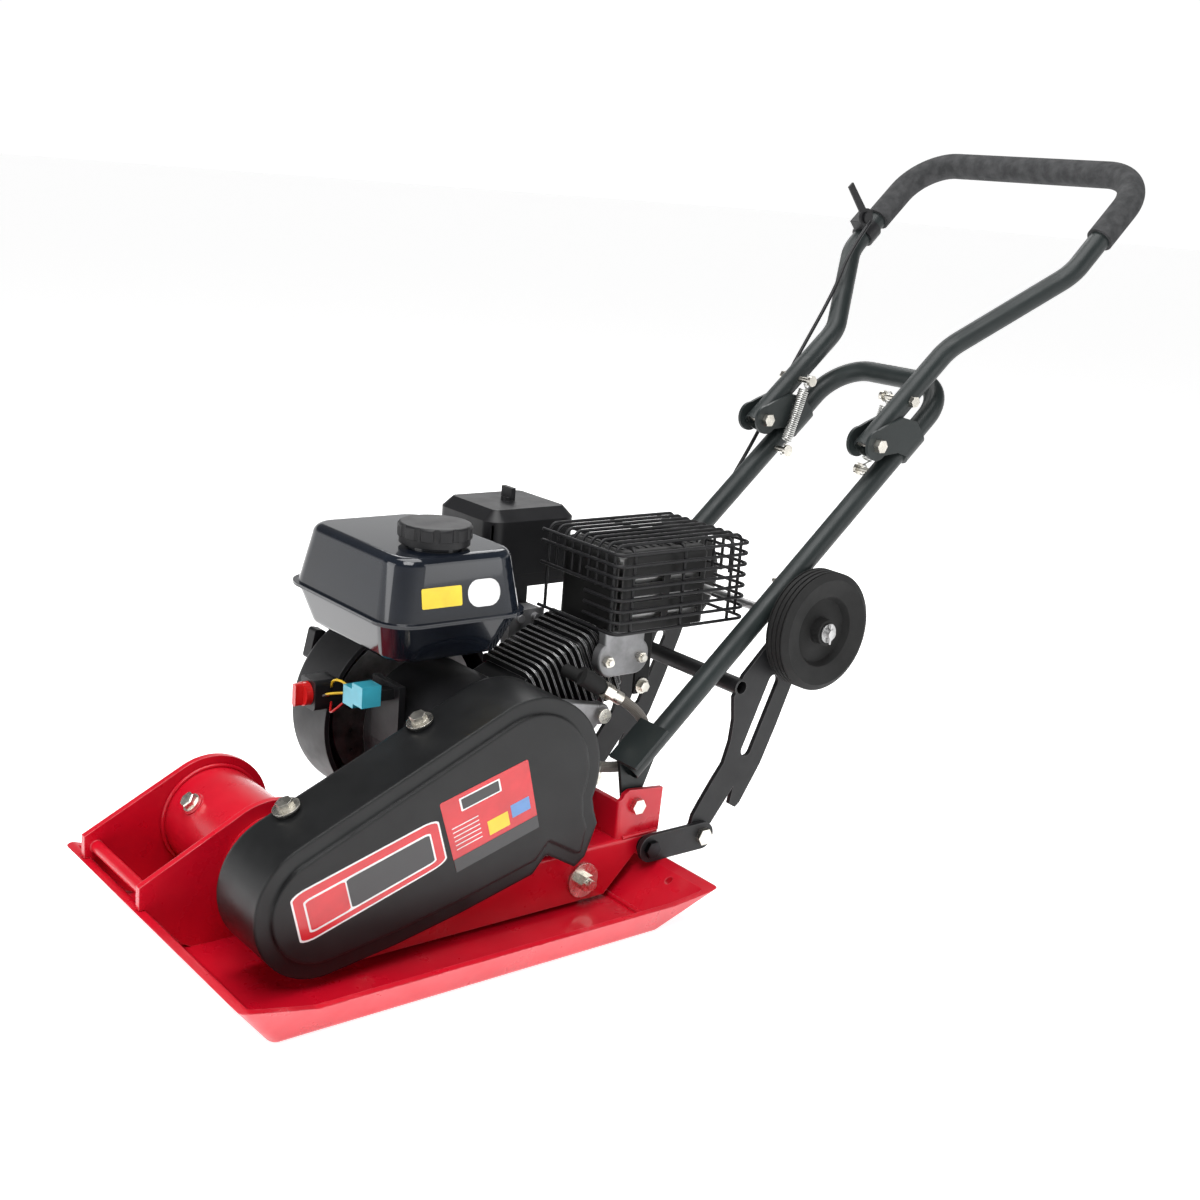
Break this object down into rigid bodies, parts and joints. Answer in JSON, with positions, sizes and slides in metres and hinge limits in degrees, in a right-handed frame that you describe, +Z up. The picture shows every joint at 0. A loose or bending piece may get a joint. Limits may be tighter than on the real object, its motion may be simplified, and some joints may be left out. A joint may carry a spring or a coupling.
{
  "type": "plate compactor",
  "caption": "Walk-behind plate compactor: bent steel sole, exciter under a belt drive, engine on a rubber-mounted deck, folding handle and swing-down transport wheels.",
  "frame": {"origin": "centre of the flat underside of the sole, on the ground", "axes": "+X forward, +Y to the belt guard side, +Z up"},
  "size_m": [1.2859, 0.4576, 0.903],
  "materials": {
    "red": "glossy red powder coat",
    "black_paint": "satin black paint",
    "tank_black": "glossy black enamel",
    "handle_black": "satin grey-black powder coat",
    "steel": "machined steel",
    "zinc": "bright zinc plate",
    "aluminium": "as cast",
    "rubber": "matte",
    "tyre": "matte",
    "foam": "matte foam",
    "black_plastic": "matte",
    "red_plastic": "gloss",
    "cyan_plastic": "gloss",
    "braid": "braided sleeve",
    "wire": "satin black"
  },
  "bodies": {
    "machine": {"air_cleaner_base": "black_plastic", "air_cleaner_cover": "black_plastic", "base_plate": "red", "belt_guard": "black_paint", "carburettor": "aluminium", "cover_bolts": "zinc", "crankcase": "aluminium", "cylinder": "aluminium", "cylinder_head": "aluminium", "engine_deck": "red", "exciter_bearings": "steel", "exciter_covers": "red", "exciter_side_plates": "red", "exciter_tube": "red", "exhaust_elbow": "aluminium", "fan_housing": "black_paint", "guard_stays": "black_paint", "handle_brackets": "red", "ignition_lead": "braid", "lead_fittings": "zinc", "link_arms": "black_paint", "link_bolts": "zinc", "mount_fasteners": "zinc", "mount_pedestals": "red", "muffler": "steel", "muffler_cage": "wire", "muffler_shield": "black_paint", "plug_cap": "rubber", "recoil_cover": "black_paint", "rubber_mounts": "rubber", "side_cover": "aluminium", "switch_box": "black_plastic", "switch_wires": "black_plastic", "tank_lower": "tank_black", "tank_upper": "tank_black", "v_belt": "rubber", "weld_beads": "red", "wiring_connectors": "cyan_plastic"},
    "crank": {"crankshaft": "steel", "clutch_hub": "steel"},
    "clutch_drum": {"clutch_drum": "steel"},
    "exciter_rotor": {"exciter_shaft": "steel", "exciter_pulley": "steel"},
    "fuel_cap": {"fuel_cap": "black_plastic"},
    "starter_grip": {"starter_grip": "black_plastic"},
    "engine_switch": {"engine_switch": "red_plastic"},
    "lower_handle": {"lower_handle": "handle_black", "hinge_saddles": "handle_black", "handle_fasteners": "zinc", "handle_springs": "steel", "throttle_cable": "black_plastic"},
    "upper_handle": {"upper_handle": "handle_black", "foam_grip": "foam", "spring_studs": "zinc", "throttle_clamp": "black_plastic"},
    "throttle_lever": {"throttle_lever": "black_plastic"},
    "wheel_frame": {"wheel_frame": "black_paint", "axle": "steel"},
    "wheel_left": {"wheel_left": "tyre"},
    "wheel_right": {"wheel_right": "tyre"}
  },
  "joints": [
    {"name": "handle_tilt", "type": "hinge", "parent": "machine", "child": "lower_handle", "pos_m": [-0.271, 0, 0.118], "axis": [0, 1, 0], "range_deg": [0, 12], "deforming": ["throttle_cable"]},
    {"name": "handle_fold", "type": "hinge", "parent": "lower_handle", "child": "upper_handle", "pos_m": [-0.60032, 0, 0.53709], "axis": [0, 1, 0], "range_deg": [0, 135], "deforming": ["handle_springs", "throttle_cable"]},
    {"name": "throttle_lever", "type": "hinge", "parent": "upper_handle", "child": "throttle_lever", "pos_m": [-0.84973, -0.1725, 0.80449], "axis": [0, 1, 0], "range_deg": [-30, 30]},
    {"name": "engine_switch", "type": "hinge", "parent": "machine", "child": "engine_switch", "pos_m": [0.041, -0.134, 0.23], "axis": [1, 0, 0], "range_deg": [0, 60]},
    {"name": "fuel_cap", "type": "hinge", "parent": "machine", "child": "fuel_cap", "pos_m": [-0.06, -0.04, 0.43], "axis": [0, 0, 1], "range_deg": [0, 90]},
    {"name": "starter_pull", "type": "slide", "parent": "machine", "child": "starter_grip", "axis": [0.9781, 0, 0.2079], "range_m": [0, 0.45], "stiffness_N_per_m": 20, "springref_m": -0.1},
    {"name": "crank_spin", "type": "hinge", "parent": "machine", "child": "crank", "pos_m": [-0.092, 0, 0.19], "axis": [0, 1, 0], "continuous": true},
    {"name": "drum_spin", "type": "hinge", "parent": "machine", "child": "clutch_drum", "pos_m": [-0.092, 0.1, 0.19], "axis": [0, 1, 0], "continuous": true},
    {"name": "exciter_spin", "type": "hinge", "parent": "machine", "child": "exciter_rotor", "pos_m": [0.14, 0, 0.086], "axis": [0, 1, 0], "continuous": true},
    {"name": "wheel_frame_swing", "type": "hinge", "parent": "machine", "child": "wheel_frame", "pos_m": [-0.368, 0, 0.066], "axis": [0, -1, 0], "range_deg": [0, 60]},
    {"name": "wheel_left_spin", "type": "hinge", "parent": "wheel_frame", "child": "wheel_left", "pos_m": [-0.506, 0.137, 0.318], "axis": [0, 1, 0], "continuous": true},
    {"name": "wheel_right_spin", "type": "hinge", "parent": "wheel_frame", "child": "wheel_right", "pos_m": [-0.506, -0.137, 0.318], "axis": [0, 1, 0], "continuous": true}
  ],
  "couplings": [
    {"joint": "drum_spin", "follows": "crank_spin", "ratio": 1},
    {"joint": "exciter_spin", "follows": "crank_spin", "ratio": 0.8522}
  ]
}
